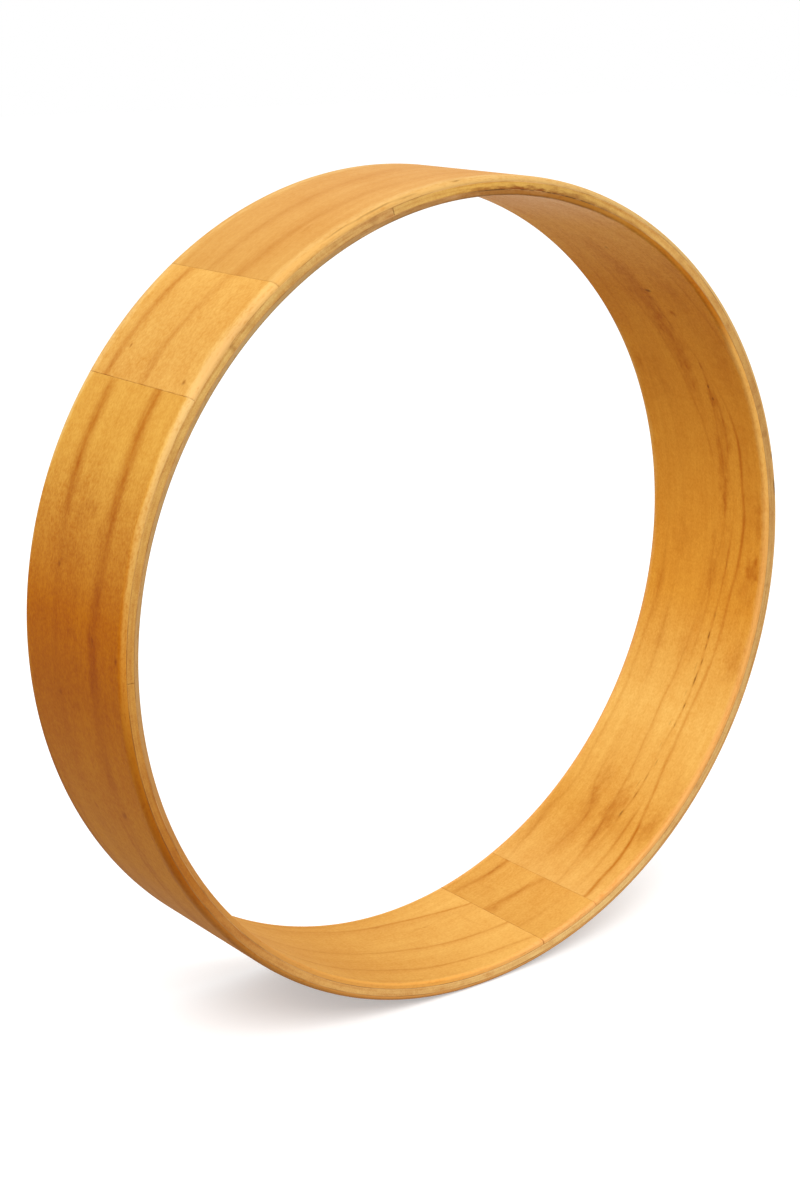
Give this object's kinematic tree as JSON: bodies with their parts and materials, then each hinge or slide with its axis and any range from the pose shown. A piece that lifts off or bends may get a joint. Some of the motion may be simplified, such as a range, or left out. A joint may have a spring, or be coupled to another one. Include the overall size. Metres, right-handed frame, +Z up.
{
  "type": "drum shell",
  "caption": "Bare round wooden drum shell: a bent laminated hoop with butt-jointed face veneers and a cross-grain core, sanded flat on both edges.",
  "frame": {"origin": "centre of the hoop, on its axis, halfway between its two edges", "axes": "+Y along the hoop's axis from the front edge to the back edge, +Z up as it stands on its rim, +X to the right seen from the front"},
  "size_m": [0.3556, 0.075, 0.3556],
  "materials": {
    "outer_veneer": "lacquered, long grain round the hoop, satin gloss",
    "outer_filler_veneer": "lacquered, long grain round the hoop, satin gloss",
    "core_veneer": "cross grain, end grain bare at the edges under thin lacquer",
    "inner_veneer": "lacquered, long grain round the hoop, satin gloss",
    "inner_filler_veneer": "lacquered, long grain round the hoop, satin gloss"
  },
  "bodies": {
    "root": {"outer_strip": "outer_veneer", "outer_filler": "outer_filler_veneer", "core_panel_1": "core_veneer", "core_panel_2": "core_veneer", "core_panel_3": "core_veneer", "core_panel_4": "core_veneer", "core_panel_5": "core_veneer", "inner_strip": "inner_veneer", "inner_filler": "inner_filler_veneer"}
  },
  "joints": []
}
